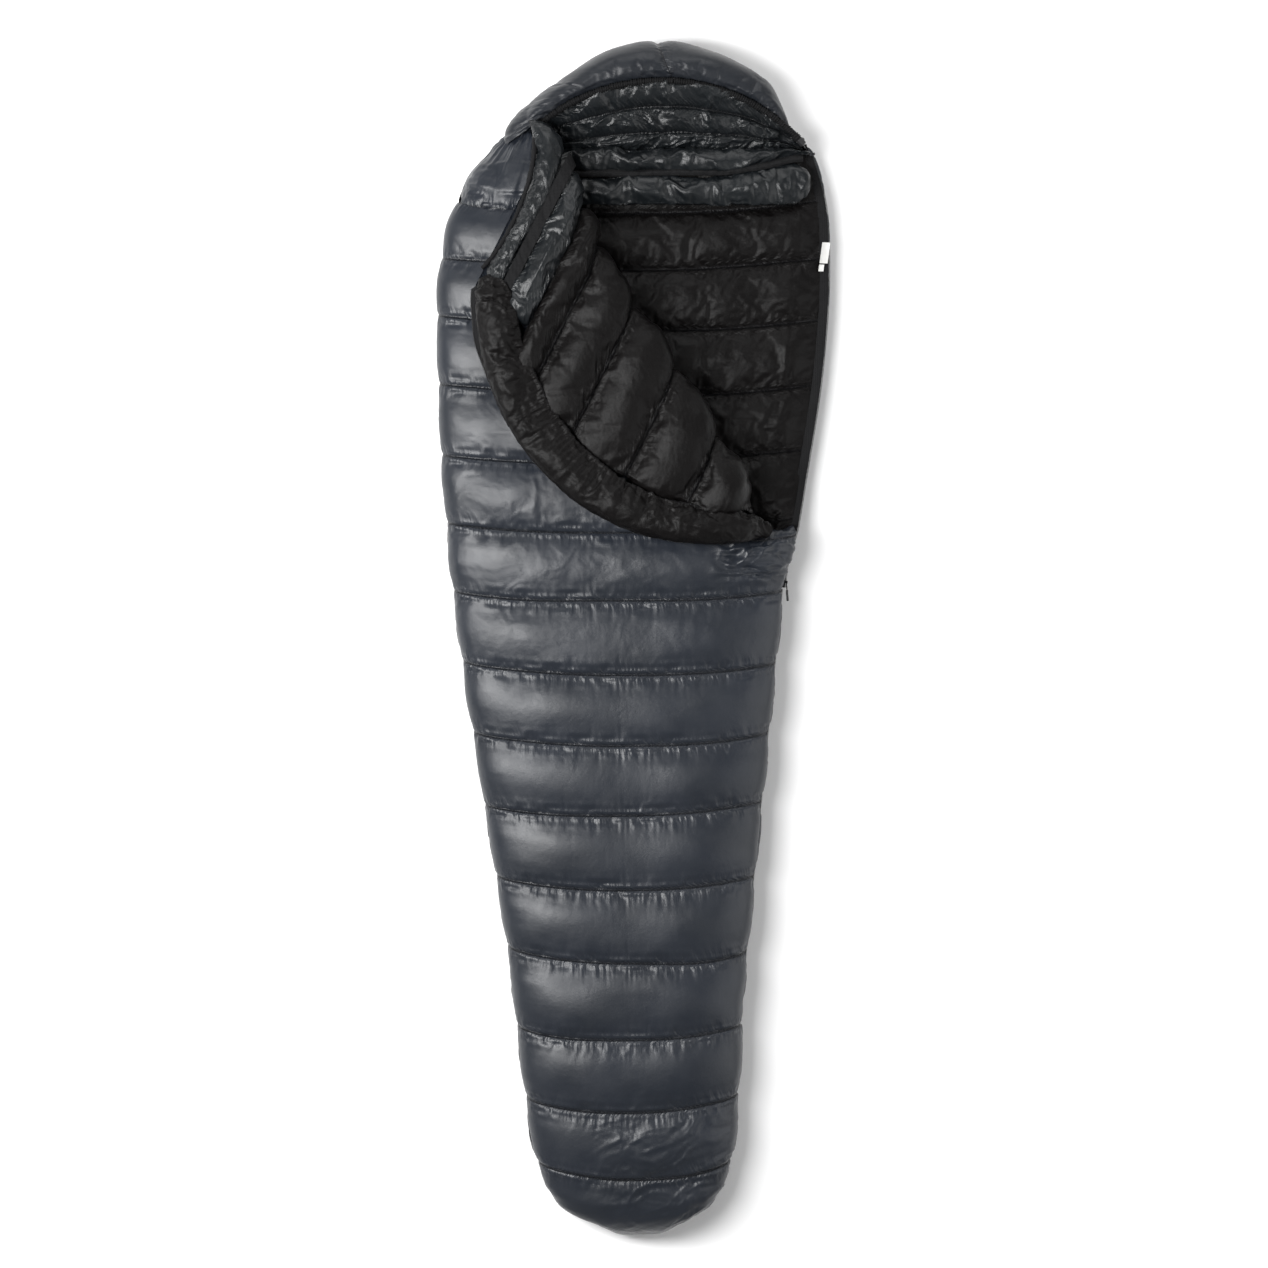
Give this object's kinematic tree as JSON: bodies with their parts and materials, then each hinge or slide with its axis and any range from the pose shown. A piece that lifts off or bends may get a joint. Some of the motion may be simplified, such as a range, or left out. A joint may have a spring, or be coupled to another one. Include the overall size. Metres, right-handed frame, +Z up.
{
  "type": "mummy sleeping bag",
  "caption": "Down mummy sleeping bag lying flat, crosswise quilted chambers, shaped hood and collar, side zip part open with the front quilt folded back.",
  "frame": {"origin": "on the floor under the middle of the bag (centre of its bounding box, at its underside)", "axes": "+Z up, +Y towards the hood, +X towards the zip side"},
  "size_m": [0.6942, 2.101, 0.186],
  "materials": {
    "shell_fabric": "satin woven nylon, dark blue-grey",
    "hood_fabric": "satin woven nylon, dark grey",
    "lining_fabric": "matte black woven nylon",
    "collar_fabric": "satin woven nylon, charcoal",
    "down_fill": "matte white down, hidden",
    "baffle_mesh": "fine matte netting, hidden",
    "elastic_tape": "matte black woven tape",
    "zip_tape": "matte black woven tape",
    "zip_teeth": "black moulded coil",
    "slider_metal": "dark coated metal, satin",
    "pull_cord": "black moulded grip",
    "drawcord": "black braided cord",
    "lock_plastic": "black moulded plastic",
    "label_fabric": "white woven satin, blank"
  },
  "bodies": {
    "bag": {"back_baffle_walls": "baffle_mesh", "back_down": "down_fill", "back_liner": "lining_fabric", "back_shell": "shell_fabric", "care_label": "label_fabric", "collar_elastic": "elastic_tape", "collar_lower": "collar_fabric", "collar_upper": "collar_fabric", "draft_tube_lower": "lining_fabric", "foot_down": "down_fill", "foot_shell": "shell_fabric", "front_baffle_walls": "baffle_mesh", "front_down": "down_fill", "front_liner": "lining_fabric", "front_shell": "shell_fabric", "zip_bottom_stop": "zip_teeth", "zip_coil_back": "zip_teeth", "zip_coil_back_open": "zip_teeth", "zip_coil_front": "zip_teeth", "zip_tape_back": "zip_tape", "zip_tape_back_open": "zip_tape", "zip_tape_front": "zip_tape", "zip_top_stop": "zip_teeth"},
    "hood": {"hood_back": "hood_fabric", "hood_crown_left": "hood_fabric", "hood_crown_right": "hood_fabric", "hood_binding": "elastic_tape", "hood_drawcord": "drawcord", "cord_lock": "lock_plastic"},
    "flap": {"flap_baffle_walls": "baffle_mesh", "flap_collar_elastic": "elastic_tape", "flap_collar_lower": "collar_fabric", "flap_collar_upper": "collar_fabric", "flap_down": "down_fill", "flap_draft_tube": "lining_fabric", "flap_hem_binding": "elastic_tape", "flap_liner": "lining_fabric", "flap_shell": "shell_fabric", "flap_zip_coil": "zip_teeth", "flap_zip_tape": "zip_tape", "fold_down": "down_fill", "fold_liner": "lining_fabric"},
    "slider": {"slider_body": "slider_metal"},
    "pull": {"slider_pull": "pull_cord"},
    "lock_button": {"cord_lock_button": "lock_plastic"}
  },
  "joints": [
    {"name": "zip_slide", "type": "slide", "parent": "bag", "child": "slider", "axis": [0.0992, 0.9951, 0], "range_m": [-0.7, 0]},
    {"name": "pull_swing", "type": "hinge", "parent": "slider", "child": "pull", "pos_m": [0.26857, 0.09134, 0.066], "axis": [0, 0, 1], "range_deg": [-8, 150]},
    {"name": "flap_fold", "type": "hinge", "parent": "bag", "child": "flap", "pos_m": [0.00563, 0.49083, 0.137], "axis": [-0.5234, 0.8521, 0], "range_deg": [0, 165]},
    {"name": "hood_tilt", "type": "hinge", "parent": "bag", "child": "hood", "pos_m": [0, 0.853, 0.046], "axis": [1, 0, 0], "range_deg": [0, 40]},
    {"name": "lock_button_press", "type": "slide", "parent": "hood", "child": "lock_button", "axis": [-0.4871, -0.6883, 0.5376], "range_m": [0, 0.002], "stiffness_N_per_m": 400, "springref_m": -0.001}
  ]
}
